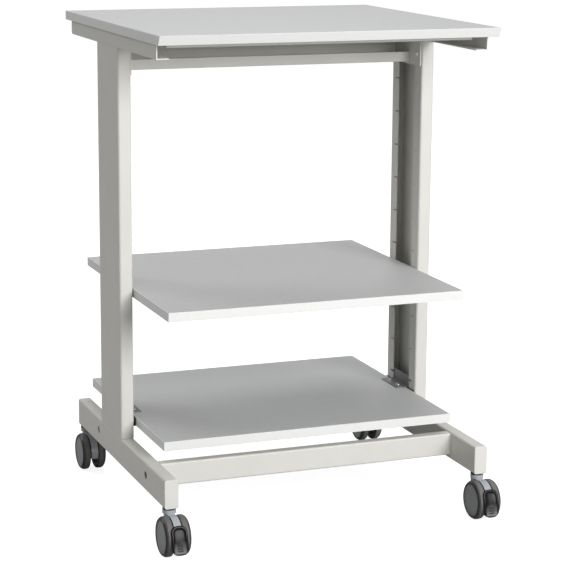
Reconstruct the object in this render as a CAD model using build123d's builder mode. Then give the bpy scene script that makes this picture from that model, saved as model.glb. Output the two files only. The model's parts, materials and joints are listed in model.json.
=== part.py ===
from build123d import *
from math import sqrt
import os

# Mobile printer stand, in millimetres. +X is the user's right, +Y the back, +Z up, and the floor is Z = 0.
# The origin is under the middle of the whole stand, between the front brake pedals and the tabletop's
# rear edge.

# Tabletop and shelves: laminated board with a plastic band glued round its edges
board = 16.0            # thickness of every board
band = 2.0              # edge band
stand_height = 856.0    # floor to the tabletop's upper face
top_width = 600.0
top_front = 270.0       # tabletop's front edge, ahead of the middle of the feet
top_rear = 306.0        # tabletop's rear edge, behind the middle of the feet
front_undercut = 9.0    # the front edge leans back this much from top to bottom
printer_shelf_front = 214.0
printer_shelf_rear = 288.0
printer_shelf_gap = 2.0     # each side, to the columns
paper_shelf_front = 178.0
paper_shelf_rear = 272.0
paper_shelf_gap = 4.5

# Steel frame
frame_set_in = 4.0      # columns' and feet's outer faces, from the tabletop's sides
steel = 2.0             # sheet and tube wall
foot_width = 24.0
foot_height = 50.0
foot_length = 540.0
foot_corner = 4.0
column_depth = 128.0
column_back = 111.0     # column's rear face, behind the middle of the feet
lip = 28.0              # width of the two lips turned in along the column's open side
bend = 4.0              # outside radius of the sheet's bends
end_plate = 4.0         # plate welded inside each end of a column
rail_height = 25.0
rail_front_gap = 38.0   # from the tabletop's front edge
rail_rear_gap = 20.0    # from its rear edge
rail_set_in = 2.0       # from the column's outer face
rail_corner = 6.0       # rounded lower rear corner
rail_screw_end = 60.0   # first screw from the rail's front end
rail_screw_rear = 45.0  # last screw from its rear end
rail_screw_side = 35.0  # middle screws from the column
stiffener_height = 8.0
stiffener_depth = 24.0
stiffener_set_back = 16.0
crossbar_height = 40.0
crossbar_depth = 20.0
crossbar_front = 172.0
crossbar_drop = 2.0     # from the foot's upper face
end_block = 5.0         # threaded plate welded inside each end of the crossbar
plug_seat = 0.8         # a plug lies this far under the foot's face
plug_flange = 1.0       # and holds on inside by this much all round
plug_back = 18.0        # plug from the column's rear face
vent_d = 4.0            # coating vent on top of each foot
vent_back = 27.0        # from the foot's rear end

# Slots for the shelves in the columns' lips
slot_pitch = 62.0
slot_height = 2.8
slot_length = 12.0
slot_up = 52.0          # lowest slot above the foot
slot_down = 35.0        # no slot nearer than this to the tray's floor
printer_slot = 3        # slot that each shelf hangs in, counted from the lowest
paper_slot = 0

# Shelf brackets
bracket = 2.0           # sheet
tongue = 19.0           # reach over or under the shelf
hook_offset = 15.0      # from the shelf's face to the slot
hook_half = 6.0         # half the height of the sheet behind the slots
hook_reach = 9.0        # into the slot, along the lip
hook_proud = 1.6        # past the lip's face
play = 0.3
screw_short = 3.0       # a board's screws end this far below its other face

# Cable tray
tray_depth = 62.5
tray_back = 16.0        # rear wall, from the columns' rear faces
tray_lip = 18.0
tray_wall = 40.0
tray_hang = 43.0        # floor, below the columns' tops
tray_plate_drop = 4.0   # end plates reach this far below the tray's floor
tray_screw_d = 4.0
tray_screw_front = 16.8     # from the column's front face

# Castors
wheel_d = 68.0
castor_rise = 9.0       # from the wheels' tops to the foot's underside
castor_inset = 14.0     # stem from the foot's end
trail = 22.0            # axle ahead of the stem
wheel_width = 15.0
wheel_gap = 14.5        # between the two wheels of a castor
tyre = 6.5
hub_recess = 1.0        # disc's face, below the tyre's side
axle_d = 6.0
axle_cover = 4.0        # axle ends this far below the tyre's side
stem_d = 8.0
stem_top_d = 10.0
stem_up = 30.0
stem_foot = 10.0        # stem ends this far above the axle
flange_d = 22.5
flange = 2.8
collar_d = 23.0
housing_width = 12.5
housing_low = 7.0       # rear part of the housing ends this far below the axle
housing_back = 6.0      # and the part round the stem this far above it
hood_gap = 0.5          # hood's radius under the wheel's
running = 0.05          # radial clearance of every turning fit
pedal_width = 28.0
pedal_height = 48.0
pedal_corner = 11.0
pedal_up = 2.5          # middle of the pedal, above the axle
pedal_sheet = 2.6
pedal_gap = 4.5         # from the wheels to the pedal, where it stands furthest out
pedal_curve = 99.0      # radius of the pedal's front face
pedal_curve_down = 20.3     # its furthest point, below the axle
pivot_back = 10.0       # pedal's pin, behind the wheels' front
pivot_up = 12.0         # and above their axis
knuckle_r = 5.0
knuckle_width = 8.0
knuckle_play = 0.8
cheek_r = 5.6
pedal_pin_d = 3.2

# Fasteners
bolt_d = 8.0
bolt_head_d = 13.0
bolt_head = 4.5
bolt_thread = 8.0       # past the plate that it is screwed into
access_play = 1.0       # of a hole round a bolt's head
screw_d = 4.5
screw_head_d = 8.5
screw_head = 2.6

# Places worked out from the sizes above
wheel_r = wheel_d / 2
castor_height = wheel_d + castor_rise
stem_y = foot_length / 2 - castor_inset
pedal_ahead = wheel_r + pedal_gap + pedal_sheet
pivot_ahead = wheel_r - pivot_back
mid_y = (stem_y + trail + pedal_ahead - top_rear) / 2
outer_x = top_width / 2 - frame_set_in
inner_x = outer_x - foot_width
foot_x = outer_x - foot_width / 2
foot_top = castor_height + foot_height
top_under = stand_height - board
column_top = top_under - rail_height
column_rear_y = mid_y + column_back
column_front_y = column_rear_y - column_depth
column_y = column_rear_y - column_depth / 2
opening = column_depth - 2 * lip
rail_x = outer_x - rail_set_in
rail_flange = foot_width - rail_set_in
crossbar_y = mid_y - crossbar_front + crossbar_depth / 2
crossbar_top = foot_top - crossbar_drop
crossbar_z = crossbar_top - crossbar_height / 2
tray_floor = column_top - tray_hang
tray_rear_y = column_rear_y - tray_back
tray_front_y = tray_rear_y - tray_depth
tray_x = inner_x - steel        # inside faces of the tray's end plates
first_slot = foot_top + slot_up
slot_count = int((tray_floor - slot_down - first_slot) / slot_pitch) + 1
slots = [first_slot + n * slot_pitch for n in range(slot_count)]
printer_under = first_slot + printer_slot * slot_pitch + hook_offset
paper_top = first_slot + paper_slot * slot_pitch - hook_offset
printer_x = inner_x - printer_shelf_gap
paper_x = inner_x - paper_shelf_gap
access_d = bolt_head_d + access_play
sides = {"left": -1, "right": 1}

os.makedirs("parts", exist_ok=True)


def save(piece, name):
    piece.part.label = name
    export_step(piece.part, f"parts/{name}.step")


def across(x):
    """Plane facing +X at x, its own axes along Y and Z."""
    return Plane.YZ.offset(x)


def level(z):
    return Plane.XY.offset(z)


def facing_front(y):
    """Plane facing -Y at y, its own axes along X and Z."""
    return Plane.XZ.offset(-y)


# ---------------------------------------------------------------- boards and their edge bands

def board_piece(half_width, front_y, rear_y, under_z, undercut, screw_places, from_top):
    """Board without its bands, with blind pilot holes for screws."""
    with BuildPart() as piece:
        with BuildSketch(across(band - half_width)):
            with BuildLine():
                Polyline(
                    (front_y + band, under_z + board),
                    (rear_y - band, under_z + board),
                    (rear_y - band, under_z),
                    (front_y + band + undercut, under_z),
                    close=True,
                )
            make_face()
        extrude(amount=2 * (half_width - band))
        depth = board - screw_short
        with BuildSketch(level(under_z + board - depth if from_top else under_z)):
            with Locations(*screw_places):
                Circle(screw_d / 2)
        extrude(amount=depth, mode=Mode.SUBTRACT)
    return piece


def edge_bands(half_width, front_y, rear_y, under_z, undercut):
    """Four strips: the two side ones run the whole depth, the others fit between them."""
    with BuildPart() as piece:
        for x in (-half_width, half_width - band):
            with BuildSketch(across(x)):
                with BuildLine():
                    Polyline(
                        (front_y, under_z + board),
                        (rear_y, under_z + board),
                        (rear_y, under_z),
                        (front_y + undercut, under_z),
                        close=True,
                    )
                make_face()
            extrude(amount=band)
        for y, lean in ((front_y, undercut), (rear_y - band, 0)):
            with BuildSketch(across(band - half_width)):
                with BuildLine():
                    Polyline(
                        (y, under_z + board),
                        (y + band, under_z + board),
                        (y + band + lean, under_z),
                        (y + lean, under_z),
                        close=True,
                    )
                make_face()
            extrude(amount=2 * (half_width - band))
    return piece


def wood_screw(places, head_z, up):
    """Pan-head screws with their heads' inner face at head_z, pointing up or down."""
    turn = 1 if up else -1
    with BuildPart() as piece:
        with BuildSketch(level(head_z)):
            with Locations(*places):
                Circle(screw_d / 2)
        extrude(amount=turn * (steel + board - screw_short - 1))
        with BuildSketch(level(head_z)):
            with Locations(*places):
                Circle(screw_head_d / 2)
        extrude(amount=-turn * screw_head)
    return piece


top_front_y = mid_y - top_front
top_rear_y = mid_y + top_rear
rail_front_y = top_front_y + rail_front_gap
rail_rear_y = top_rear_y - rail_rear_gap
rail_screw_x = rail_x - rail_flange / 2
rail_screw_ys = [
    rail_front_y + rail_screw_end,
    column_front_y - rail_screw_side,
    column_rear_y + rail_screw_side,
    rail_rear_y - rail_screw_rear,
]
top_screws = [(side * rail_screw_x, y) for side in (-1, 1) for y in rail_screw_ys]

tabletop = board_piece(top_width / 2, top_front_y, top_rear_y, top_under, front_undercut, top_screws, False)
save(tabletop, "tabletop")
tabletop_edge_bands = edge_bands(top_width / 2, top_front_y, top_rear_y, top_under, front_undercut)
save(tabletop_edge_bands, "tabletop_edge_bands")
tabletop_screws = wood_screw(top_screws, top_under - steel, True)
save(tabletop_screws, "tabletop_screws")

bracket_screw_ys = [column_y - opening / 4, column_y + opening / 4]


def bracket_screws_at(half_width):
    return [(side * (half_width - tongue / 2), y) for side in (-1, 1) for y in bracket_screw_ys]


printer_screws = bracket_screws_at(printer_x)
printer_front_y = mid_y - printer_shelf_front
printer_rear_y = mid_y + printer_shelf_rear
printer_shelf = board_piece(
    printer_x, printer_front_y, printer_rear_y, printer_under, 0, printer_screws, False
)
save(printer_shelf, "printer_shelf")
printer_shelf_edge_bands = edge_bands(printer_x, printer_front_y, printer_rear_y, printer_under, 0)
save(printer_shelf_edge_bands, "printer_shelf_edge_bands")
printer_shelf_screws = wood_screw(printer_screws, printer_under - bracket, True)
save(printer_shelf_screws, "printer_shelf_screws")

paper_screws = bracket_screws_at(paper_x)
paper_front_y = mid_y - paper_shelf_front
paper_rear_y = mid_y + paper_shelf_rear
paper_shelf = board_piece(paper_x, paper_front_y, paper_rear_y, paper_top - board, 0, paper_screws, True)
save(paper_shelf, "paper_shelf")
paper_shelf_edge_bands = edge_bands(paper_x, paper_front_y, paper_rear_y, paper_top - board, 0)
save(paper_shelf_edge_bands, "paper_shelf_edge_bands")
paper_shelf_screws = wood_screw(paper_screws, paper_top + bracket, False)
save(paper_shelf_screws, "paper_shelf_screws")

# Plastic pads on the paper shelf's side edges, which centre it between the columns
with BuildPart() as paper_shelf_side_pads:
    for side in (-1, 1):
        with BuildSketch(level(paper_top - board)):
            with Locations((side * (inner_x + paper_x - play) / 2, column_y)):
                Rectangle(paper_shelf_gap - play, column_depth - 2 * bend)
        extrude(amount=board)
save(paper_shelf_side_pads, "paper_shelf_side_pads")


# ---------------------------------------------------------------- shelf brackets

def shelf_brackets(half_width, face_z, turn):
    """Bent sheet: a tongue on the shelf's face, a leg behind the lips, and a hook out through each slot.
    turn is -1 where the leg hangs down from a shelf's underside, and 1 where it stands on the shelf."""
    leg_x = inner_x + steel + play
    slot_z = face_z + turn * hook_offset
    with BuildPart() as piece:
        for side in (-1, 1):
            tongue_in = half_width - tongue
            with BuildSketch(level(face_z)):
                with Locations((side * (tongue_in + leg_x + bracket) / 2, column_y)):
                    Rectangle(leg_x + bracket - tongue_in, opening - 4 * play)
                with Locations(*[(side * (half_width - tongue / 2), y) for y in bracket_screw_ys]):
                    Circle(screw_d / 2, mode=Mode.SUBTRACT)
            extrude(amount=turn * bracket)
            with BuildSketch(across(side * leg_x)):
                with Locations((column_y, face_z + turn * (hook_offset + hook_half) / 2)):
                    Rectangle(opening - 4 * play, hook_offset + hook_half)
                with Locations((column_y, slot_z)):
                    Rectangle(opening + 2 * hook_reach, 2 * hook_half)
            extrude(amount=side * bracket)
            for end in (-1, 1):
                with BuildSketch(across(side * (inner_x - hook_proud))):
                    with Locations((column_y + end * (opening + hook_reach) / 2, slot_z)):
                        Rectangle(hook_reach, slot_height - 2 * play)
                extrude(amount=side * (leg_x - inner_x + hook_proud))
    return piece


printer_shelf_brackets = shelf_brackets(printer_x, printer_under, -1)
save(printer_shelf_brackets, "printer_shelf_brackets")
paper_shelf_brackets = shelf_brackets(paper_x, paper_top, 1)
save(paper_shelf_brackets, "paper_shelf_brackets")


# ---------------------------------------------------------------- columns

base_screw_ys = [column_y - column_depth / 4, column_y + column_depth / 4]
tray_screw_z = tray_floor + tray_lip
tray_screw_ys = [column_front_y + tray_screw_front, (tray_rear_y + column_rear_y) / 2]

for name, side in sides.items():
    with BuildPart() as column:
        with BuildSketch(level(foot_top)):
            with Locations((side * foot_x, column_y)):
                RectangleRounded(foot_width, column_depth, bend)
                RectangleRounded(
                    foot_width - 2 * steel, column_depth - 2 * steel, bend - steel, mode=Mode.SUBTRACT
                )
            with Locations((side * (inner_x + steel / 2), column_y)):
                Rectangle(2 * steel, opening, mode=Mode.SUBTRACT)
        extrude(amount=column_top - foot_top)
        with BuildSketch(across(side * inner_x)):
            with Locations(*[(column_y, z) for z in slots]):
                Rectangle(opening + 2 * slot_length, slot_height)
            with Locations(*[(y, tray_screw_z) for y in tray_screw_ys]):
                Circle(tray_screw_d / 2)
        extrude(amount=side * steel, mode=Mode.SUBTRACT)
    save(column, f"{name}_column")

# Plates welded inside the columns' ends, which take the screws from the feet and the rails
for name, z, up in (("column_base_plates", foot_top, 1), ("column_head_plates", column_top, -1)):
    with BuildPart() as plates:
        with BuildSketch(level(z)):
            with Locations((-foot_x, column_y), (foot_x, column_y)):
                RectangleRounded(foot_width - 2 * steel, column_depth - 2 * steel, bend - steel)
            with Locations(*[(side * foot_x, y) for side in (-1, 1) for y in base_screw_ys]):
                Circle(bolt_d / 2, mode=Mode.SUBTRACT)
        extrude(amount=up * end_plate)
    save(plates, name)


def machine_screws(head_z, length):
    """Cap screws at the columns' ends, with their heads on top, seated at head_z."""
    places = [(side * foot_x, y) for side in (-1, 1) for y in base_screw_ys]
    with BuildPart() as piece:
        with BuildSketch(level(head_z)):
            with Locations(*places):
                Circle(bolt_d / 2)
        extrude(amount=-length)
        with BuildSketch(level(head_z)):
            with Locations(*places):
                Circle(bolt_head_d / 2)
        extrude(amount=bolt_head)
    return piece


column_base_screws = machine_screws(foot_top + end_plate, end_plate + steel + bolt_thread)
save(column_base_screws, "column_base_screws")
column_head_screws = machine_screws(column_top + steel, steel + end_plate + bolt_thread)
save(column_head_screws, "column_head_screws")


# ---------------------------------------------------------------- top rails, front stiffener, cable tray

for name, side in sides.items():
    with BuildPart() as rail:
        with BuildSketch(facing_front(rail_rear_y)):
            with Locations((side * (rail_x - rail_flange / 2), column_top + rail_height / 2)):
                Rectangle(rail_flange, rail_height)
            with Locations((side * (rail_x - steel - rail_flange / 2), column_top + rail_height / 2)):
                Rectangle(rail_flange, rail_height - 2 * steel, mode=Mode.SUBTRACT)
        extrude(amount=rail_rear_y - rail_front_y)
        with BuildSketch(across(side * rail_x)):
            with Locations((rail_rear_y - rail_corner / 2, column_top + rail_corner / 2)):
                Rectangle(rail_corner, rail_corner)
            with Locations((rail_rear_y - rail_corner, column_top + rail_corner)):
                Circle(rail_corner, mode=Mode.SUBTRACT)
        extrude(amount=-side * rail_flange, mode=Mode.SUBTRACT)
        with BuildSketch(level(top_under - steel)):
            with Locations(*[(side * rail_screw_x, y) for y in rail_screw_ys]):
                Circle(screw_d / 2)
        extrude(amount=steel, mode=Mode.SUBTRACT)
        with BuildSketch(level(column_top)):
            with Locations(*[(side * foot_x, y) for y in base_screw_ys]):
                Circle(bolt_d / 2)
        extrude(amount=steel, mode=Mode.SUBTRACT)
    save(rail, f"{name}_top_rail")

with BuildPart() as front_stiffener:
    with BuildSketch(level(top_under - stiffener_height)):
        with Locations((0, rail_front_y + stiffener_set_back + stiffener_depth / 2)):
            Rectangle(2 * (rail_x - rail_flange), stiffener_depth)
    extrude(amount=stiffener_height)
save(front_stiffener, "front_stiffener")

with BuildPart() as cable_tray:
    with BuildSketch(across(-tray_x)):
        with Locations((tray_front_y + tray_depth / 2, tray_floor + steel / 2)):
            Rectangle(tray_depth, steel)
        with Locations((tray_front_y + steel / 2, tray_floor + tray_lip / 2)):
            Rectangle(steel, tray_lip)
        with Locations((tray_rear_y - steel / 2, tray_floor + tray_wall / 2)):
            Rectangle(steel, tray_wall)
    extrude(amount=2 * tray_x)
    corners = cable_tray.edges().filter_by(Axis.X).group_by(Axis.Z)[0]
    fillet(corners, steel * 0.9)
save(cable_tray, "cable_tray")

with BuildPart() as cable_tray_end_plates:
    for side in (-1, 1):
        with BuildSketch(across(side * tray_x)):
            with Locations((column_y, (tray_floor - tray_plate_drop + column_top - steel) / 2)):
                Rectangle(column_depth - 2 * bend, column_top - steel - tray_floor + tray_plate_drop)
            with Locations(*[(y, tray_screw_z) for y in tray_screw_ys]):
                Circle(tray_screw_d / 2, mode=Mode.SUBTRACT)
        extrude(amount=side * steel)
save(cable_tray_end_plates, "cable_tray_end_plates")

with BuildPart() as cable_tray_screws:
    for side in (-1, 1):
        with BuildSketch(across(side * tray_x)):
            with Locations(*[(y, tray_screw_z) for y in tray_screw_ys]):
                Circle(tray_screw_d / 2)
        extrude(amount=side * (2 * steel + tray_screw_d))
        with BuildSketch(across(side * tray_x)):
            with Locations(*[(y, tray_screw_z) for y in tray_screw_ys]):
                Circle(screw_head_d / 2)
        extrude(amount=-side * screw_head)
    fillet(cable_tray_screws.faces().sort_by(Axis.X)[:2].edges(), screw_head * 0.6)
    fillet(cable_tray_screws.faces().sort_by(Axis.X)[-2:].edges(), screw_head * 0.6)
save(cable_tray_screws, "cable_tray_screws")


# ---------------------------------------------------------------- feet and lower crossbar

foot_front_y = mid_y - foot_length / 2
foot_rear_y = mid_y + foot_length / 2
stem_places = [(side * foot_x, mid_y + end * stem_y) for side in (-1, 1) for end in (-1, 1)]
plug_y = column_rear_y + plug_back
foot_hole_z = crossbar_z
vent_y = foot_rear_y - vent_back

for name, side in sides.items():
    with BuildPart() as foot:
        with BuildSketch(facing_front(foot_rear_y - steel)):
            with Locations((side * foot_x, castor_height + foot_height / 2)):
                RectangleRounded(foot_width, foot_height, foot_corner)
                RectangleRounded(
                    foot_width - 2 * steel, foot_height - 2 * steel, foot_corner - steel, mode=Mode.SUBTRACT
                )
        extrude(amount=foot_length - 2 * steel)
        with BuildSketch(across(side * outer_x)):
            with Locations((crossbar_y, foot_hole_z), (plug_y, foot_hole_z)):
                Circle(access_d / 2)
        extrude(amount=-side * steel, mode=Mode.SUBTRACT)
        with BuildSketch(across(side * (inner_x + steel))):
            with Locations((crossbar_y, foot_hole_z)):
                Circle(bolt_d / 2)
        extrude(amount=-side * steel, mode=Mode.SUBTRACT)
        with BuildSketch(level(castor_height)):
            with Locations((side * foot_x, mid_y - stem_y), (side * foot_x, mid_y + stem_y)):
                Circle(stem_top_d / 2)
        extrude(amount=steel, mode=Mode.SUBTRACT)
        with BuildSketch(level(foot_top - steel)):
            with Locations(*[(side * foot_x, y) for y in base_screw_ys]):
                Circle(bolt_d / 2)
            with Locations((side * foot_x, vent_y)):
                Circle(vent_d / 2)
        extrude(amount=steel, mode=Mode.SUBTRACT)
    save(foot, f"{name}_foot")

with BuildPart() as foot_end_caps:
    for side in (-1, 1):
        for y in (foot_front_y + steel, foot_rear_y):
            with BuildSketch(facing_front(y)):
                with Locations((side * foot_x, castor_height + foot_height / 2)):
                    RectangleRounded(foot_width, foot_height, foot_corner)
            extrude(amount=steel)
save(foot_end_caps, "foot_end_caps")

with BuildPart() as foot_hole_plugs:
    for side in (-1, 1):
        with BuildSketch(across(side * (outer_x - plug_seat))):
            with Locations((plug_y, foot_hole_z)):
                Circle(access_d / 2)
        extrude(amount=-side * (steel - plug_seat))
        with BuildSketch(across(side * (outer_x - steel))):
            with Locations((plug_y, foot_hole_z)):
                Circle(access_d / 2 + plug_flange)
        extrude(amount=-side * steel)
save(foot_hole_plugs, "foot_hole_plugs")

with BuildPart() as lower_crossbar:
    with BuildSketch(across(-inner_x)):
        with Locations((crossbar_y, crossbar_z)):
            RectangleRounded(crossbar_depth, crossbar_height, foot_corner - 1)
            RectangleRounded(
                crossbar_depth - 2 * steel, crossbar_height - 2 * steel, foot_corner - 1 - steel,
                mode=Mode.SUBTRACT,
            )
    extrude(amount=2 * inner_x)
save(lower_crossbar, "lower_crossbar")

with BuildPart() as crossbar_end_plates:
    for side in (-1, 1):
        with BuildSketch(across(side * inner_x)):
            with Locations((crossbar_y, crossbar_z)):
                RectangleRounded(
                    crossbar_depth - 2 * steel, crossbar_height - 2 * steel, foot_corner - 1 - steel
                )
                Circle(bolt_d / 2, mode=Mode.SUBTRACT)
        extrude(amount=-side * end_block)
save(crossbar_end_plates, "crossbar_end_plates")

with BuildPart() as crossbar_bolts:
    for side in (-1, 1):
        with BuildSketch(across(side * (inner_x + steel))):
            with Locations((crossbar_y, foot_hole_z)):
                Circle(bolt_d / 2)
        extrude(amount=-side * (steel + end_block + bolt_thread))
        with BuildSketch(across(side * (inner_x + steel))):
            with Locations((crossbar_y, foot_hole_z)):
                Circle(bolt_head_d / 2)
                RegularPolygon(bolt_d * 0.36, 6, mode=Mode.SUBTRACT)
        extrude(amount=side * (foot_width - 3 * steel))
save(crossbar_bolts, "crossbar_bolts")


# ---------------------------------------------------------------- castors

housing_top = castor_height - flange - play
collar_under = wheel_d - 0.5
bore_end = wheel_r + stem_foot - 1      # bottom of the housing's bore for the stem
axle_length = 2 * (wheel_gap / 2 + wheel_width - axle_cover)
hub_r = wheel_r - tyre

with BuildPart() as castor_stems:
    with BuildSketch(level(castor_height)):
        with Locations(*stem_places):
            Circle(stem_top_d / 2)
    extrude(amount=stem_up)
    with BuildSketch(level(castor_height)):
        with Locations(*stem_places):
            Circle(flange_d / 2)
    extrude(amount=-flange)
    with BuildSketch(level(castor_height - flange)):
        with Locations(*stem_places):
            Circle(stem_d / 2)
    extrude(amount=-(castor_height - flange - wheel_r - stem_foot))
save(castor_stems, "castor_stems")


def side_plane(x, y):
    """Plane facing -X at x, its origin on the wheels' axis: its own axes run forward and up."""
    return Plane(origin=(x, y, wheel_r), x_dir=(0, -1, 0), z_dir=(-1, 0, 0))


def castor_housing(x, y, braked):
    """Narrow body between the wheels, with a hood over them and a collar round the stem."""
    hood_r = wheel_r - hood_gap
    axle_y = y - trail
    from_above = (Align.MIN, Align.MAX)
    with BuildPart() as piece:
        with BuildSketch(side_plane(x + housing_width / 2, axle_y)):
            Circle(hood_r)
            with Locations((-hood_r, -housing_low)):
                Rectangle(2 * hood_r, 2 * hood_r, align=from_above, mode=Mode.SUBTRACT)
            with Locations((-hood_r, hood_r)):
                Rectangle(hood_r - trail + collar_d / 2, hood_r - housing_back, align=from_above)
            Circle(axle_d + 4)
            if braked:
                with Locations((wheel_r - 2 * pivot_back, pivot_up - cheek_r)):
                    Rectangle(wheel_d, wheel_d, align=from_above, mode=Mode.SUBTRACT)
                with Locations((pivot_ahead + cheek_r, pivot_up + cheek_r)):
                    Rectangle(wheel_d, wheel_d, align=from_above, mode=Mode.SUBTRACT)
                with Locations((pivot_ahead, pivot_up)):
                    Circle(cheek_r)
            Circle(axle_d / 2, mode=Mode.SUBTRACT)
        extrude(amount=housing_width)
        if braked:
            with BuildSketch(side_plane(x + knuckle_width / 2 + play, axle_y)):
                with Locations((pivot_ahead, pivot_up)):
                    Circle(knuckle_r + knuckle_play)
                    Rectangle(wheel_r, 2 * (knuckle_r + knuckle_play), align=(Align.MIN, Align.CENTER))
            extrude(amount=knuckle_width + 2 * play, mode=Mode.SUBTRACT)
            with BuildSketch(side_plane(x + housing_width / 2, axle_y)):
                with Locations((pivot_ahead, pivot_up)):
                    Circle(pedal_pin_d / 2 + running)
            extrude(amount=housing_width, mode=Mode.SUBTRACT)
        with BuildSketch(level(collar_under)):
            with Locations((x, y)):
                Circle(collar_d / 2)
        extrude(amount=housing_top - collar_under)
        with BuildSketch(level(bore_end)):
            with Locations((x, y)):
                Circle(stem_d / 2 + running)
        extrude(amount=housing_top - bore_end, mode=Mode.SUBTRACT)
    return piece


def pedal_back(up):
    """How far ahead of the axle the pedal's rear face is, at a height above it."""
    return pedal_ahead - pedal_curve + sqrt((pedal_curve - pedal_sheet) ** 2 - (up + pedal_curve_down) ** 2)


def brake_pedal(x, y):
    """Curved foot plate in front of the wheels, with a knuckle on a cross pin in the housing."""
    axle_y = y - trail
    neck_top = pivot_up + 3
    neck_bottom = pivot_up - 2 * knuckle_r
    with BuildPart() as piece:
        with BuildSketch(side_plane(x + pedal_width / 2, axle_y)):
            with Locations((pedal_ahead - pedal_curve, -pedal_curve_down)):
                Circle(pedal_curve)
                Circle(pedal_curve - pedal_sheet, mode=Mode.SUBTRACT)
        extrude(amount=pedal_width)
        with BuildSketch(facing_front(axle_y)):
            with Locations((x, wheel_r + pedal_up)):
                RectangleRounded(pedal_width, pedal_height, pedal_corner)
        extrude(amount=wheel_d, mode=Mode.INTERSECT)
        with BuildSketch(side_plane(x + knuckle_width / 2, axle_y)):
            with Locations((pivot_ahead, pivot_up)):
                Circle(knuckle_r)
            with BuildLine():
                Polyline(
                    (pivot_ahead, pivot_up + knuckle_r),
                    (pedal_back(neck_top) + pedal_sheet / 3, neck_top),
                    (pedal_back(neck_bottom) + pedal_sheet / 3, neck_bottom),
                    (pivot_ahead, pivot_up - knuckle_r),
                    close=True,
                )
            make_face()
        extrude(amount=knuckle_width)
        with BuildSketch(side_plane(x + housing_width / 2, axle_y)):
            with Locations((pivot_ahead, pivot_up)):
                Circle(pedal_pin_d / 2)
        extrude(amount=housing_width)
    return piece


def castor_tyre(x, axle_y, outward):
    """Moulded ring from the wheel's inner face to its outer one."""
    start = x + outward * wheel_gap / 2
    with BuildPart() as piece:
        with BuildSketch(Plane(origin=(start, axle_y, wheel_r), x_dir=(0, 1, 0), z_dir=(outward, 0, 0))):
            Circle(wheel_r)
            Circle(hub_r, mode=Mode.SUBTRACT)
        extrude(amount=wheel_width)
        rims = piece.edges().filter_by(GeomType.CIRCLE).filter_by(lambda e: e.radius > wheel_r - 0.01)
        fillet(rims.sort_by(Axis.X)[-1 if outward > 0 else 0], tyre * 0.7)
        rims = piece.edges().filter_by(GeomType.CIRCLE).filter_by(lambda e: e.radius > wheel_r - 0.01)
        fillet(rims.sort_by(Axis.X)[0 if outward > 0 else -1], tyre * 0.4)
    return piece


def castor_hub(x, axle_y, outward):
    """Disc with a closed outer face, bored from the inside for the axle."""
    start = x + outward * wheel_gap / 2
    with BuildPart() as piece:
        with BuildSketch(Plane(origin=(start, axle_y, wheel_r), x_dir=(0, 1, 0), z_dir=(outward, 0, 0))):
            Circle(hub_r)
        extrude(amount=wheel_width - hub_recess)
        with BuildSketch(Plane(origin=(start, axle_y, wheel_r), x_dir=(0, 1, 0), z_dir=(outward, 0, 0))):
            Circle(axle_d / 2 + running)
        extrude(amount=wheel_width - axle_cover + play, mode=Mode.SUBTRACT)
    return piece


for y_name, end in (("front", -1), ("rear", 1)):
    for x_name, side in sides.items():
        place = f"{y_name}_{x_name}_castor"
        stem_x = side * foot_x
        castor_y = mid_y + end * stem_y
        wheels_y = castor_y - trail
        save(castor_housing(stem_x, castor_y, y_name == "front"), f"{place}_housing")
        with BuildPart() as axle:
            with BuildSketch(across(stem_x - axle_length / 2)):
                with Locations((wheels_y, wheel_r)):
                    Circle(axle_d / 2)
            extrude(amount=axle_length)
        save(axle, f"{place}_axle")
        for wheel_name, outward in (("left", -1), ("right", 1)):
            save(castor_hub(stem_x, wheels_y, outward), f"{place}_{wheel_name}_hub")
            save(castor_tyre(stem_x, wheels_y, outward), f"{place}_{wheel_name}_tyre")
        if y_name == "front":
            save(brake_pedal(stem_x, castor_y), f"{place}_brake_pedal")
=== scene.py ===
import json
from math import asin, cos, pi, radians, sin

import bmesh
import bpy
from mathutils import Matrix, Vector


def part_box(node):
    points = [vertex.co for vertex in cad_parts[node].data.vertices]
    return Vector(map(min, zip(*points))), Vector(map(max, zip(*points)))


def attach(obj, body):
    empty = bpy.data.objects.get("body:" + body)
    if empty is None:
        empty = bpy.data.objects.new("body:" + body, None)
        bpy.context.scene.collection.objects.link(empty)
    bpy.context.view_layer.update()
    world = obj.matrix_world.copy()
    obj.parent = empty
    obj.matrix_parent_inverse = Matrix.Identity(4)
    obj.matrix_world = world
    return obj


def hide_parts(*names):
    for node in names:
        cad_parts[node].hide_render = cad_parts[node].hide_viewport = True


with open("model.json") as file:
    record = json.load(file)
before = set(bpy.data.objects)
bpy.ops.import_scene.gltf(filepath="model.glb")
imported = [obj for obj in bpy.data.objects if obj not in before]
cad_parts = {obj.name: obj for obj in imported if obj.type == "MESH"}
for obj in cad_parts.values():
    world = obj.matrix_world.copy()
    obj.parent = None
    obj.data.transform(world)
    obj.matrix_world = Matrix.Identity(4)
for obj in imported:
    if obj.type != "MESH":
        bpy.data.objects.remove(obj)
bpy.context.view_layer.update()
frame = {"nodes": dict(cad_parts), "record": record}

# ---------------------------------------------------------------- feet
# Two rectangular steel tubes from front to back, powder coated in a fine-textured light grey.
# Each has an access hole for the crossbar's bolt, a plugged hole behind the column, and a vent
# hole on top. The sheet's edges carry the slightly rounded look of a thick coat of paint.

body_of = {node: body for body, nodes in frame["record"]["behaviour"]["bodies"].items() for node in nodes}

# How far each kind of edge is rounded, in metres.
board_edge = 0.00015
steel_edge = 0.0003
bent_edge = 0.0004
bar_edge = 0.0006
moulded_edge = 0.0007
cap_edge = 0.0009
# Faces that turn by less than the first angle are merged. Edges sharper than the second are rounded.
flat_angle = radians(0.6)
sharp_angle = radians(35)


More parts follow.
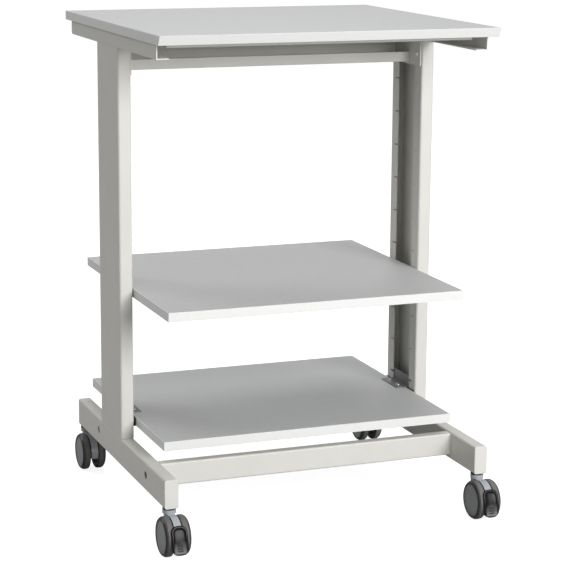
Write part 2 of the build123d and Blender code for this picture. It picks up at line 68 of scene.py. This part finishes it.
def stands_for(piece, node):
    """The piece takes the place of that CAD node: it rides on the node's body, and the node is hidden."""
    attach(piece, body_of[node])
    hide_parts(node)


class Shade:
    """A socket in a material. Sums and products on it add the Math nodes that work them out."""

    def __init__(self, tree, socket):
        self.tree = tree
        self.socket = socket

    def node(self, kind, settings, inputs, output=0):
        """Adds a node: its settings first, then its sockets' values or links. A ramp's stops, of
        (place, grey), are a setting."""
        made = self.tree.nodes.new(kind)
        for name, value in settings.items():
            if name == "stops":
                stops = made.color_ramp.elements
                while len(stops) < len(value):
                    stops.new(1.0)
                for stop, (place, grey) in zip(stops, value):
                    stop.position = place
                    stop.color = (grey, grey, grey, 1)
            else:
                setattr(made, name, value)
        for name, value in inputs.items():
            if isinstance(value, Shade):
                self.tree.links.new(value.socket, made.inputs[name])
            else:
                made.inputs[name].default_value = value
        return Shade(self.tree, made.outputs[output])

    def math(self, operation, second, first=None):
        inputs = {0: self if first is None else first, 1: second}
        return self.node("ShaderNodeMath", {"operation": operation}, inputs)

    def __add__(self, other):
        return self.math("ADD", other)

    def __sub__(self, other):
        return self.math("SUBTRACT", other)

    def __rsub__(self, other):
        return self.math("SUBTRACT", self, other)

    def __mul__(self, other):
        return self.math("MULTIPLY", other)

    __radd__ = __add__
    __rmul__ = __mul__

    def noise(self, size, detail=2.0):
        """Noise from 0 to 1 whose grains are about size metres across, read at this place."""
        return self.node("ShaderNodeTexNoise", {}, {"Vector": self, "Scale": 1 / size, "Detail": detail})

    def ramp(self, *stops):
        return self.node("ShaderNodeValToRGB", {"stops": stops}, {"Fac": self})

    def mix(self, first, second):
        """From the first colour to the second, as this goes from 0 to 1."""
        return self.node("ShaderNodeMix", {"data_type": "RGBA"}, {0: self, 6: first, 7: second}, 2)

    def bump(self, height, strength=1.0):
        """Normal for a relief of that height in metres."""
        return self.node("ShaderNodeBump", {}, {"Height": self, "Distance": height, "Strength": strength})


def material(name, make):
    """A Principled material. make(place) gives its sockets, where place is the surface's own position."""
    made = bpy.data.materials.new(name)
    made.use_nodes = True
    tree = made.node_tree
    shader = tree.nodes["Principled BSDF"]
    place = Shade(tree, tree.nodes.new("ShaderNodeTexCoord").outputs["Object"])
    for socket, value in make(place).items():
        if isinstance(value, Shade):
            tree.links.new(value.socket, shader.inputs[socket])
        else:
            shader.inputs[socket].default_value = value
    return made


def powder_coat(place):
    """Light grey with a touch of yellow. The grains melt into a fine orange peel that breaks the gloss."""
    peel = place.noise(0.0011, 3)
    cloud = place.noise(0.06)
    speck = place.noise(0.0016).ramp((0.68, 0), (0.76, 1))
    tone = (cloud * 0.7 + peel * 0.3).mix((0.655, 0.645, 0.605, 1), (0.725, 0.715, 0.675, 1))
    return {
        "Base Color": (speck * 0.3).mix(tone, (0.54, 0.535, 0.505, 1)),
        "Roughness": 0.36 + peel * 0.2,
        "Normal": peel.bump(0.00007, 0.6),
        "Specular IOR Level": 0.45,
    }


frame_paint = material("frame_powder_coat", powder_coat)


def object_of(name, mesh, finish, smooth=32):
    """A new object with one material, smooth except along edges sharper than that angle."""
    mesh.materials.append(finish)
    mesh.polygons.foreach_set("use_smooth", [True] * len(mesh.polygons))
    mesh.set_sharp_from_angle(angle=radians(smooth))
    made = bpy.data.objects.new(name, mesh)
    bpy.context.collection.objects.link(made)
    return made


def piece_of(name, work, finish, nodes, smooth):
    """Turns the built mesh into one object, shaded evenly, that stands for those CAD nodes."""
    mesh = bpy.data.meshes.new(name)
    work.to_mesh(mesh)
    work.free()
    piece = object_of(name, mesh, finish, smooth)
    even = piece.modifiers.new("even_normals", "WEIGHTED_NORMAL")
    even.keep_sharp = True
    for node in nodes:
        stands_for(piece, node)
    return piece


def eased(node, width, finish, steps=2):
    """The CAD node's own shape with every sharp edge rounded by width, as paint or a die leaves it."""
    work = bmesh.new()
    work.from_mesh(frame["nodes"][node].data)
    bmesh.ops.remove_doubles(work, verts=work.verts, dist=1e-6)
    bmesh.ops.dissolve_limit(work, angle_limit=flat_angle, verts=work.verts, edges=work.edges)
    sharp = [
        edge for edge in work.edges if edge.is_manifold and edge.calc_face_angle() > sharp_angle
    ]
    bmesh.ops.bevel(
        work, geom=sharp, offset=width, segments=steps, profile=0.5, affect="EDGES", clamp_overlap=True
    )
    return piece_of(f"{node}_eased", work, finish, [node], 50)


for side in ("left", "right"):
    eased(f"{side}_foot", steel_edge, frame_paint)
eased("foot_end_caps", cap_edge, frame_paint, 3)

# ---------------------------------------------------------------- the feet's plugs
# Moulded plugs pushed into the rear holes of the feet, a little below the painted face. Each has
# a lip, a groove inside it and a slightly domed middle.

mm = 0.001
corner_steps = 4


def islands(node):
    """The lowest and highest corners of each separate solid in a CAD node."""
    work = bmesh.new()
    work.from_mesh(frame["nodes"][node].data)
    bmesh.ops.remove_doubles(work, verts=work.verts, dist=1e-6)
    waiting = set(work.verts)
    found = []
    while waiting:
        island = [waiting.pop()]
        for vert in island:
            for edge in vert.link_edges:
                other = edge.other_vert(vert)
                if other in waiting:
                    waiting.discard(other)
                    island.append(other)
        low = Vector([min(vert.co[axis] for vert in island) for axis in range(3)])
        high = Vector([max(vert.co[axis] for vert in island) for axis in range(3)])
        found.append((low, high))
    work.free()
    return sorted(found, key=lambda box: tuple(box[0]))


def rounded(corners):
    """Outline through (x, y, ease) corners, each cut back by its ease and rounded with a curve."""
    path = []
    for index, (x, y, ease) in enumerate(corners):
        here = Vector((x, y))
        if not ease:
            path.append(here)
            continue
        first = here + (Vector(corners[index - 1][:2]) - here).normalized() * ease
        last = here + (Vector(corners[(index + 1) % len(corners)][:2]) - here).normalized() * ease
        for step in range(corner_steps + 1):
            share = step / corner_steps
            path.append(first.lerp(here, share).lerp(here.lerp(last, share), share))
    return path


def skin(work, rings, closed=False):
    """Faces between each ring of points and the next, and from the last to the first if closed."""
    rows = [[work.verts.new(point) for point in ring] for ring in rings]
    for row, following in zip(rows, rows[1:] + (rows[:1] if closed else [])):
        for index in range(len(row)):
            work.faces.new((row[index - 1], row[index], following[index], following[index - 1]))
    return rows


in_recess = -1


def turned(work, outline, place, out, count=48, recess=None, closed=False):
    """Spins an outline of (radius, height) in mm about out, from place. A radius of in_recess
    stands for recess(angle), which is a radius for each angle."""
    turn = Vector(out).to_track_quat("Z", "Y").to_matrix()
    rings = []
    for radius, height in outline:
        ring = []
        for index in range(count):
            angle = 2 * pi * index / count
            reach = recess(angle) if radius == in_recess else radius
            point = Vector((reach * cos(angle), reach * sin(angle), height))
            ring.append(turn @ point * mm + Vector(place))
        rings.append(ring)
    skin(work, rings, closed)


def finished(name, work, finish, nodes, smooth=32):
    """Closes up a mesh that was built here, and makes it one piece."""
    bmesh.ops.remove_doubles(work, verts=work.verts, dist=2e-6)
    bmesh.ops.recalc_face_normals(work, faces=work.faces)
    return piece_of(name, work, finish, nodes, smooth)


def black_plastic(place):
    grain = place.noise(0.0006)
    return {
        "Base Color": (0.018, 0.018, 0.019, 1),
        "Roughness": 0.42 + grain * 0.15,
        "Normal": grain.bump(0.00003),
    }


def grey_plastic(place):
    grain = place.noise(0.0006)
    flow = place.noise(0.005)
    return {
        "Base Color": flow.mix((0.28, 0.28, 0.275, 1), (0.35, 0.35, 0.345, 1)),
        "Roughness": 0.35 + grain * 0.15,
        "Normal": grain.bump(0.00003),
    }


plug_black = material("black_plastic", black_plastic)
plug_grey = material("plug_plastic", grey_plastic)
plugs = bmesh.new()
for low, high in islands("foot_hole_plugs"):
    side = 1 if low.x > 0 else -1
    plug_r = (high.y - low.y) / 2 / mm
    plug_thick = (high.x - low.x) / mm
    outer_face = ((high if side > 0 else low).x, (low.y + high.y) / 2, (low.z + high.z) / 2)
    lip = rounded([
        (0, -plug_thick, 0), (plug_r, -plug_thick, 0.4), (plug_r, 0, 0.4), (plug_r - 1.1, 0, 0.4),
        (plug_r - 1.6, -1.3, 0.3), (plug_r - 2.4, -1.3, 0.3), (plug_r - 3.0, -0.3, 0.4), (0, -0.1, 0),
    ])
    turned(plugs, lip, outer_face, (side, 0, 0))
finished("foot_plugs", plugs, plug_grey, ["foot_hole_plugs"])

# ---------------------------------------------------------------- lower crossbar
# A 40 x 20 mm tube between the feet, painted like them. Threaded plates are welded inside its
# ends, and a zinc-plated cap bolt reaches each one from inside the foot.


def zinc_plate(place):
    """Bright zinc over drawn steel: a faint straw and blue cast, with fine drag lines."""
    cast = place.noise(0.004)
    drag = place.noise(0.0004, 1)
    return {
        "Base Color": cast.mix((0.70, 0.715, 0.74, 1), (0.76, 0.75, 0.71, 1)),
        "Metallic": 1.0,
        "Roughness": 0.24 + drag * 0.16,
        "Normal": drag.bump(0.00001),
    }


zinc = material("zinc_plated_steel", zinc_plate)
eased("lower_crossbar", steel_edge, frame_paint)
eased("crossbar_end_plates", steel_edge, frame_paint)


def hexagon(across_flats):
    """Recess with six sides: its radius at an angle."""
    return lambda angle: across_flats / 2 / cos((angle + pi / 6) % (pi / 3) - pi / 6)


def cross(length, slot):
    """Recess in the shape of a cross: its radius at an angle."""

    def reach(angle):
        off = abs((angle + pi / 4) % (pi / 2) - pi / 4)
        return min(length / 2 / cos(off), slot / 2 / max(sin(off), 1e-3))

    return reach


# Where a head's dome turns over, and where its flat starts, as shares of the head's diameter.
dome_turn, flat_start = 0.36, 0.27


def screws(node, axis, facing, shank_d, head_d, head, dome, recess, depth, finish):
    """One piece for all a CAD node's screws. Each has a shank and a head whose rim steps up by dome
    to a flat with a recess for the driver. facing gives the way along axis that a head looks."""
    work = bmesh.new()
    for low, high in islands(node):
        top = (low + high) / 2
        way = facing(top)
        length = (high - low)[axis] / mm
        top[axis] = (high if way > 0 else low)[axis]
        outline = rounded([
            (0, -length, 0), (shank_d / 2, -length, 0.5), (shank_d / 2, -head, 0),
            (head_d / 2, -head, 0.25), (head_d / 2, -dome, 0.3), (head_d * dome_turn, -dome * 0.2, 0.6),
            (head_d * flat_start, 0, 0),
        ])
        outline += [(in_recess, 0), (in_recess, -depth), (0, -depth)]
        pointing = [0, 0, 0]
        pointing[axis] = way
        turned(work, outline, top, pointing, recess=recess)
    return finished(f"{node}_turned", work, finish, [node])


def outward(at):
    return 1 if at.x > 0 else -1


def inward(at):
    return -outward(at)


def upward(at):
    return 1


def downward(at):
    return -1


# Shank's and head's diameters, head's height, dome, recess and its depth in mm, and finish.
cap_bolt = (8.0, 13.0, 4.5, 0.8, hexagon(6.0), 2.8, zinc)
screws("crossbar_bolts", 0, outward, *cap_bolt)

# ---------------------------------------------------------------- columns
# Sheet steel folded to a flat C that is open towards the shelves. A ladder of slots is punched in
# its two lips. Plates are welded inside its ends, screwed to the foot below and the rail above.

for side in ("left", "right"):
    eased(f"{side}_column", steel_edge, frame_paint)
for node in ("column_base_plates", "column_head_plates"):
    eased(node, steel_edge, frame_paint)
for node in ("column_base_screws", "column_head_screws"):
    screws(node, 2, upward, *cap_bolt)

# ---------------------------------------------------------------- top rails and front stiffener
# Folded channels under the tabletop's sides, open inwards, with a rounded lower rear corner, and
# a flat bar between them behind the front edge.

for side in ("left", "right"):
    eased(f"{side}_top_rail", bent_edge, frame_paint)
eased("front_stiffener", bar_edge, frame_paint)

# ---------------------------------------------------------------- cable tray
# One folded sheet between two end plates, screwed to the inner faces of the columns with four
# bright button-head screws.

eased("cable_tray", bent_edge, frame_paint)
eased("cable_tray_end_plates", cap_edge, frame_paint, 3)


def polished(place):
    """Bright plated heads with fine drag lines."""
    drag = place.noise(0.0005, 1)
    return {
        "Base Color": drag.mix((0.90, 0.91, 0.92, 1), (0.96, 0.96, 0.96, 1)),
        "Metallic": 0.55,
        "Roughness": 0.14 + drag * 0.1,
    }


bright_steel = material("polished_steel", polished)
button_head = (4.0, 8.5, 2.6, 1.9, hexagon(2.5), 1.2, bright_steel)
screws("cable_tray_screws", 0, inward, *button_head)

# ---------------------------------------------------------------- tabletop
# Particle board faced with light grey laminate in a fine pearl texture. A 2 mm plastic band in
# a lighter grey is glued round it, its corners scraped to a small radius.


def laminate(place):
    """Fine pearl texture with a very faint mottle."""
    pearl = place.noise(0.0008, 3)
    mottle = place.noise(0.018, 4)
    tone = (mottle * 0.55 + pearl * 0.45).mix((0.515, 0.525, 0.52, 1), (0.595, 0.605, 0.60, 1))
    return {
        "Base Color": tone,
        "Roughness": 0.42 + pearl * 0.16,
        "Normal": pearl.bump(0.00005, 0.5),
        "Specular IOR Level": 0.4,
    }


def band_plastic(place):
    """Smooth extruded plastic with a hint of the scraper's chatter."""
    chatter = place.noise(0.003, 2)
    return {
        "Base Color": chatter.mix((0.76, 0.76, 0.75, 1), (0.82, 0.82, 0.81, 1)),
        "Roughness": 0.4 + chatter * 0.12,
        "Normal": chatter.bump(0.00004, 0.4),
    }


board_face = material("grey_laminate", laminate)
edge_band = material("edge_band", band_plastic)
eased("tabletop", board_edge, board_face)
eased("tabletop_edge_bands", moulded_edge, edge_band, 3)
pan_screw = (4.5, 8.5, 2.6, 1.3, cross(3.6, 1.1), 1.4, zinc)
screws("tabletop_screws", 2, downward, *pan_screw)

# ---------------------------------------------------------------- shelves
# Two more boards of the same make. Each hangs by a pair of bent brackets: screwed under the
# printer shelf and on top of the paper shelf, with hooks through the columns' slots.


def bracket_steel(place):
    """Dull grey plating over a pressed and bent strip."""
    cloud = place.noise(0.008, 3)
    drag = place.noise(0.0006, 1)
    return {
        "Base Color": cloud.mix((0.20, 0.205, 0.21, 1), (0.30, 0.305, 0.31, 1)),
        "Metallic": 0.55,
        "Roughness": 0.36 + drag * 0.16,
        "Normal": drag.bump(0.00001),
    }


bracket_grey = material("dull_plated_steel", bracket_steel)
for shelf in ("printer_shelf", "paper_shelf"):
    eased(shelf, board_edge, board_face)
    eased(f"{shelf}_edge_bands", bar_edge, edge_band, 3)
    eased(f"{shelf}_brackets", bent_edge, bracket_grey)
screws("printer_shelf_screws", 2, downward, *pan_screw)
screws("paper_shelf_screws", 2, upward, *pan_screw)
eased("paper_shelf_side_pads", bar_edge, plug_black)

# ---------------------------------------------------------------- castor stems, housings and axles
# A stem with a round flange stands in each housing, coloured near black: painted shade for the flange,
# which shows only as a dark ring in the gap under the foot. The housing is moulded in silver-grey plastic:
# a narrow body between the wheels, a hood over their tops and a collar round the stem.


def stem_painted_shade(place):
    """Near-black metal, mottled a little: painted shade for the flange in the dark gap under the foot."""
    cloud = place.noise(0.003)
    return {
        "Base Color": cloud.mix((0.045, 0.045, 0.048, 1), (0.09, 0.09, 0.095, 1)),
        "Metallic": 0.8,
        "Roughness": 0.35 + cloud * 0.2,
    }


def housing_plastic(place):
    flow = place.noise(0.012, 2)
    grain = place.noise(0.0007)
    return {
        "Base Color": flow.mix((0.36, 0.385, 0.41, 1), (0.44, 0.465, 0.49, 1)),
        "Roughness": 0.3 + grain * 0.12,
        "Normal": grain.bump(0.00002),
        "Coat Weight": 0.15,
    }


housing_grey = material("castor_housing_plastic", housing_plastic)
# The stems take the near-black steel, which is painted shade on their flanges.
eased("castor_stems", steel_edge, material("stem_steel_painted_shade", stem_painted_shade))
castors = [f"{end}_{side}_castor" for end in ("front", "rear") for side in ("left", "right")]
for castor in castors:
    eased(f"{castor}_housing", moulded_edge, housing_grey, 3)
    eased(f"{castor}_axle", bent_edge, zinc)

# ---------------------------------------------------------------- castor wheels
# Each wheel is a mid-grey disc, closed outside and ribbed inside round a boss, with a softer dark
# tyre moulded round it. The tyre has a sloping shoulder, a crowned tread and a parting line.


def disc_plastic(place):
    flow = place.noise(0.01, 2)
    grain = place.noise(0.0005)
    return {
        "Base Color": flow.mix((0.27, 0.28, 0.285, 1), (0.33, 0.34, 0.345, 1)),
        "Roughness": 0.42 + grain * 0.2,
        "Normal": grain.bump(0.00003),
    }


def tyre_plastic(place):
    """Near black on its sides, with pale floor dust rubbed into the tread."""
    grain = place.noise(0.0009, 3)
    facing = place.node("ShaderNodeTexCoord", {}, {}, "Normal")
    sideways = place.node("ShaderNodeSeparateXYZ", {}, {0: facing}, "X")
    tread = (sideways * sideways).ramp((0.05, 1), (0.4, 0))
    dust = tread * (0.55 + place.noise(0.012, 3) * 0.6)
    return {
        "Base Color": dust.mix((0.018, 0.018, 0.019, 1), (0.165, 0.161, 0.154, 1)),
        "Roughness": 0.34 + dust * 0.35,
        "Normal": grain.bump(0.00005, 0.5),
    }


wheel_disc = material("wheel_disc_plastic", disc_plastic)
tyre_grey = material("tyre_plastic", tyre_plastic)
hub_r = 27.5
boss_r, bore_r = 7.0, 3.05
web = 9.4
spokes = 8
spoke_thick = 1.6
spoke_start, spoke_end = boss_r - 0.4, hub_r - 2.0
# Rings of (distance from the wheel's inner face, share of the spoke's thickness), from the web in.
spoke_rings = ((web + 0.3, 1.15), (2.2, 1.0), (1.8, 0.7))
# Outlines of (radius, distance from the wheel's inner face, ease), in mm.
tyre_outline = rounded([
    (hub_r, 0, 0), (31.9, 0, 0.9), (33.5, 1.3, 1.0), (34.0, 6.2, 1.5), (34.0, 7.1, 0.1),
    (33.8, 7.3, 0), (34.0, 7.5, 0.1), (33.9, 9.8, 1.2), (31.6, 13.4, 1.2), (29.4, 14.9, 0.8),
    (28.4, 15.0, 0.3), (27.9, 14.2, 0.3), (hub_r, 14.0, 0),
])
hub_outline = rounded([
    (0, 13.9, 0), (14.0, 13.8, 4.0), (24.2, 13.3, 1.5), (25.0, 12.7, 0.4), (25.7, 12.7, 0.3),
    (26.2, 13.5, 0.4), (hub_r, 13.6, 0.3), (hub_r, 0.6, 0.3), (hub_r - 2.3, 0.6, 0.3),
    (hub_r - 2.3, web, 0.8), (boss_r, web, 0.8), (boss_r, 0.2, 0.4), (bore_r, 0.2, 0.3),
    (bore_r, 12.0, 0), (0, 12.0, 0),
])
for castor in castors:
    for wheel, way in (("left", -1), ("right", 1)):
        low, high = (Vector(corner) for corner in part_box(f"{castor}_{wheel}_tyre"))
        hub_in = (low + high) / 2
        hub_in.x = (low if way > 0 else high).x
        ring = bmesh.new()
        turned(ring, tyre_outline, hub_in, (way, 0, 0), 96, closed=True)
        finished(f"{castor}_{wheel}_tread", ring, tyre_grey, [f"{castor}_{wheel}_tyre"])
        disc = bmesh.new()
        turned(disc, hub_outline, hub_in, (way, 0, 0), 96)
        for spoke in range(spokes):
            angle = 2 * pi * spoke / spokes
            along = Vector((0, cos(angle), sin(angle)))
            across = Vector((0, -sin(angle), cos(angle))) * spoke_thick / 2
            rings = []
            for deep, thin in spoke_rings:
                corners = (
                    (spoke_start, -thin), (spoke_end, -thin), (spoke_end, thin), (spoke_start, thin)
                )
                rings.append([
                    hub_in + (Vector((way * deep, 0, 0)) + along * reach + across * off) * mm
                    for reach, off in corners
                ])
            rows = skin(disc, rings)
            disc.faces.new(rows[0])
            disc.faces.new(rows[-1])
        finished(f"{castor}_{wheel}_disc", disc, wheel_disc, [f"{castor}_{wheel}_hub"])

# ---------------------------------------------------------------- brake pedals
# Smooth black foot plates in front of the two front castors. Each is dished inside a raised rim,
# deeper at the top, with three grip ribs low down, and a neck behind it ends in a knuckle on a pin.

pedal_x = sum(corner[0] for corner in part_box("front_right_castor_brake_pedal")) / 2
sheen_wide, sheen_high = 0.02, 0.06     # metres that the ramps of the painted reflection span


def pedal_plastic(place):
    """Smooth black, painted a lighter grey and made duller towards its lower end inside the rim: a painted
    reflection of the light that its lower half catches.
    """
    grain = place.noise(0.0008)
    height = place.node("ShaderNodeSeparateXYZ", {}, {0: place}, "Z")
    out = place.node("ShaderNodeSeparateXYZ", {}, {0: place}, "X").math("ABSOLUTE", 0)
    off_middle = (out - pedal_x).math("ABSOLUTE", 0)
    inside_rim = (off_middle * (1 / sheen_wide)).ramp((0.47, 1), (0.57, 0))
    low_down = (height * (1 / sheen_high) + place.noise(0.01) * 0.2).ramp((0.40, 1), (0.70, 0))
    above_lip = (height * (1 / sheen_high)).ramp((0.23, 0), (0.28, 1))
    # Painted reflection: this mask lightens the lower middle of the plate, inside the rim and above the
    # lip.
    painted_sheen = inside_rim * low_down * above_lip
    return {
        "Base Color": painted_sheen.mix((0.003, 0.003, 0.003, 1), (0.17, 0.165, 0.162, 1)),
        "Roughness": 0.3 + grain * 0.1 + painted_sheen * 0.15,
        "Specular IOR Level": 0.22,
        "Normal": grain.bump(0.00002),
    }


pedal_black = material("pedal_plastic", pedal_plastic)
pedal_curve = 99.0      # radius of the plate's front, seen from the side
curve_drop = 20.3       # centre of that curve, below the axle
pivot_rise = 12.0       # pin, above the axle
pedal_corner = 11.0
axle_r = 3.0
knuckle_r, knuckle_wide = 5.0, 8.0
pin_r, pin_long = 1.6, 13.0
rib_ups = (-7.5, -12.0, -16.5)
rib_r, rib_half, rib_depth = 1.15, 4.6, 1.2
neck_high, neck_low, neck_depth = 12.5, -0.5, 2.2
neck_slack = 0.4        # how far the neck keeps inside the knuckle
neck_flare = 0.25       # how much wider it is at the plate
neck_stops = (0, 0.35, 0.7, 1)
turn_steps, side_steps = 6, 4       # along a ring's quarter turn, and half of its side
dish_middle, dish_slope = 0.8, 0.5  # share of the dish's depth half way up, and how it grows
# Rings from the dish's middle over the rim to the back: inset from the outline, depth, and how far
# the dish sinks there, in mm.
pedal_rings = (
    (14.0, 0.5, 1.6), (11.5, 0.5, 1.58), (9.0, 0.5, 1.5), (6.8, 0.5, 1.35), (5.0, 0.45, 1.1),
    (4.0, 0.3, 0.6), (3.3, 0.1, 0.1), (2.9, 0, 0), (1.5, 0, 0), (0.5, 0.2, 0), (0, 0.8, 0),
    (0, 2.0, 0), (0.5, 2.6, 0), (3.5, 2.6, 0.2), (6.0, 2.6, 0.5), (9.0, 2.6, 0.55), (14.0, 2.6, 0.6),
)
# Outlines of (radius, distance along the axis, ease), in mm.
rib = rounded([(0, -rib_half, 0), (rib_r, -rib_half, 0.8), (rib_r, rib_half, 0.8), (0, rib_half, 0)])
knuckle = rounded([
    (0, -knuckle_wide / 2, 0), (knuckle_r, -knuckle_wide / 2, 0.5), (knuckle_r, knuckle_wide / 2, 0.5),
    (0, knuckle_wide / 2, 0),
])
pin = rounded([
    (0, -pin_long / 2, 0), (pin_r, -pin_long / 2, 0.3), (pin_r, pin_long / 2, 0.3),
    (0, pin_long / 2, 0),
])
for side in ("left", "right"):
    node = f"front_{side}_castor_brake_pedal"
    low, high = (Vector(corner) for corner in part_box(node))
    middle = (low.x + high.x) / 2
    half_wide, half_high = (high.x - low.x) / 2 / mm, (high.z - low.z) / 2 / mm
    axle_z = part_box(f"front_{side}_castor_axle")[0][2] + axle_r * mm
    centre_y, centre_z = low.y + pedal_curve * mm, axle_z - curve_drop * mm

    def on_plate(across, up, depth):
        """The point that far across and up from the plate's middle, behind its front curve."""
        rise = up * mm + (low.z + high.z) / 2 - centre_z
        angle = asin(rise / (pedal_curve * mm))
        radius = (pedal_curve - depth) * mm
        back, height = centre_y - radius * cos(angle), centre_z + radius * sin(angle)
        return Vector((middle + across * mm, back, height))

    def plate_ring(inset, depth, dish):
        """One closed ring of the plate, with round corners where there is room for them."""
        corner = max(pedal_corner - inset, 0.3) if inset < half_wide else 0
        wide, tall = half_wide - inset - corner, half_high - inset - corner
        flat = []
        for quarter, (right, top) in enumerate(((1, 1), (-1, 1), (-1, -1), (1, -1))):
            for step in range(turn_steps + 1):
                angle = (quarter + step / turn_steps) * pi / 2
                flat.append((right * wide + corner * cos(angle), top * tall + corner * sin(angle)))
            if quarter % 2:
                steps = range(1, 2 * side_steps)
                flat += [
                    (right * (wide + corner), top * tall * (1 - step / side_steps)) for step in steps
                ]
        return [
            on_plate(x, z, depth + dish * (dish_middle + dish_slope * z / half_high))
            for x, z in flat
        ]

    plate = bmesh.new()
    skin(plate, [plate_ring(*ring) for ring in pedal_rings])
    plate_faces = len(plate.faces)
    # The ribs take the second slot, plain black plastic, kept out of the painted reflection so they show
    # as dark stripes.
    for up in rib_ups:
        turned(plate, rib, on_plate(0, up, rib_depth), (1, 0, 0), 16)
    plate.faces.ensure_lookup_table()
    for face in plate.faces[plate_faces:]:
        face.material_index = 1
    pivot = Vector((middle, high.y - knuckle_r * mm, axle_z + pivot_rise * mm))
    turned(plate, knuckle, pivot, (1, 0, 0))
    turned(plate, pin, pivot, (1, 0, 0), 24)
    neck = []
    for share in neck_stops:
        wide = (knuckle_wide / 2 - neck_slack) * (1 + neck_flare * share * share)
        upper = pivot.lerp(on_plate(0, neck_high, neck_depth), share)
        lower = pivot.lerp(on_plate(0, neck_low, neck_depth), share)
        top_z = upper.z + (1 - share) * (knuckle_r - neck_slack) * mm
        low_z = lower.z - (1 - share) * (knuckle_r - neck_slack) * mm
        corners = ((-1, upper, top_z), (1, upper, top_z), (1, lower, low_z), (-1, lower, low_z))
        neck.append([
            Vector((middle + way * wide * mm, at.y, height)) for way, at, height in corners
        ])
    rows = skin(plate, neck)
    plate.faces.new(rows[0])
    plate.faces.new(rows[-1])
    foot_plate = finished(f"front_{side}_castor_foot_plate", plate, pedal_black, [node], 40)
    foot_plate.data.materials.append(plug_black)

# ---------------------------------------------------------------- studio
# A large soft light in front, a weak one overhead, two behind, and a camera at chest height with a
# long lens. The floor and the sky are white to the camera and dimmer to every other ray, which
# keeps the light that they throw on the object low.

floor_mesh = bpy.data.meshes.new("floor")
floor_half = 40.0
floor_glow = 0.86       # what the camera sees of the floor
floor_bounce = 0.42     # what the floor gives back to the object
sky_light = 0.33
ground = [(-floor_half, -floor_half, 0), (floor_half, -floor_half, 0)]
ground += [(floor_half, floor_half, 0), (-floor_half, floor_half, 0)]
floor_mesh.from_pydata(ground, [], [(0, 1, 2, 3)])


def white_floor(place):
    cloud = place.noise(0.3)
    return {
        "Base Color": cloud.mix((0.5, 0.5, 0.5, 1), (0.52, 0.52, 0.52, 1)),
        "Roughness": 0.9,
        "Emission Color": (1, 1, 1, 1),
        "Emission Strength": floor_glow,
        "Specular IOR Level": 0.0,
    }


def seen_only(tree, seen, other):
    """A shader that the camera sees as seen, while the other rays meet the dimmer one."""
    mixed = tree.nodes.new("ShaderNodeMixShader")
    ray = tree.nodes.new("ShaderNodeLightPath")
    tree.links.new(ray.outputs["Is Camera Ray"], mixed.inputs["Fac"])
    tree.links.new(other, mixed.inputs[1])
    tree.links.new(seen, mixed.inputs[2])
    return mixed.outputs["Shader"]


white = material("white_floor", white_floor)
floor_tree = white.node_tree
bounce = floor_tree.nodes.new("ShaderNodeBsdfDiffuse")
bounce.inputs["Color"].default_value = (floor_bounce, floor_bounce, floor_bounce, 1)
glow = floor_tree.nodes["Principled BSDF"]
floor_tree.links.new(
    seen_only(floor_tree, glow.outputs["BSDF"], bounce.outputs["BSDF"]),
    floor_tree.nodes["Material Output"].inputs["Surface"],
)
floor = object_of("floor", floor_mesh, white)


def soft_light(name, place, target, size, power):
    data = bpy.data.lights.new(name, "AREA")
    data.shape = "RECTANGLE"
    data.size, data.size_y = size
    data.energy = power
    made = bpy.data.objects.new(name, data)
    made.location = place
    made.rotation_euler = (Vector(target) - Vector(place)).to_track_quat("-Z", "Y").to_euler()
    bpy.context.collection.objects.link(made)


# Each light's place and size in metres, and power in watts.
aim = (0, 0, 0.45)
soft_light("front_softbox", (0.9, -3.6, 1.75), aim, (1.8, 1.6), 132)
soft_light("overhead_softbox", (-0.2, -0.3, 3.4), aim, (2.4, 2.4), 13)
soft_light("rear_high_softbox", (0.9, 3.0, 3.4), aim, (2.0, 1.6), 45)
soft_light("rear_softbox", (-2.8, 2.6, 2.4), aim, (2.0, 1.6), 32)

world = bpy.data.worlds.new("studio")
world.use_nodes = True
sky = world.node_tree
dim = sky.nodes["Background"]
dim.inputs["Color"].default_value = (1, 1, 1, 1)
dim.inputs["Strength"].default_value = sky_light
bright = sky.nodes.new("ShaderNodeBackground")
bright.inputs["Color"].default_value = (1, 1, 1, 1)
sky.links.new(
    seen_only(sky, bright.outputs["Background"], dim.outputs["Background"]),
    sky.nodes["World Output"].inputs["Surface"],
)
bpy.context.scene.world = world

heading, pitch, lean = -21.0, 78.0, 0.4     # degrees
camera_data = bpy.data.cameras.new("camera")
camera_data.sensor_width = 36.0
camera_data.lens = 124.95
camera_data.clip_end = 100
camera = bpy.data.objects.new("camera", camera_data)
camera.location = (-1.221, -3.2034, 1.118)
turn = Matrix.Rotation(radians(heading), 4, "Z")
tilt = Matrix.Rotation(radians(pitch), 4, "X")
roll = Matrix.Rotation(radians(lean), 4, "Z")
camera.rotation_euler = (turn @ tilt @ roll).to_euler()
bpy.context.collection.objects.link(camera)
bpy.context.scene.camera = camera
bpy.context.scene.view_settings.view_transform = "Standard"
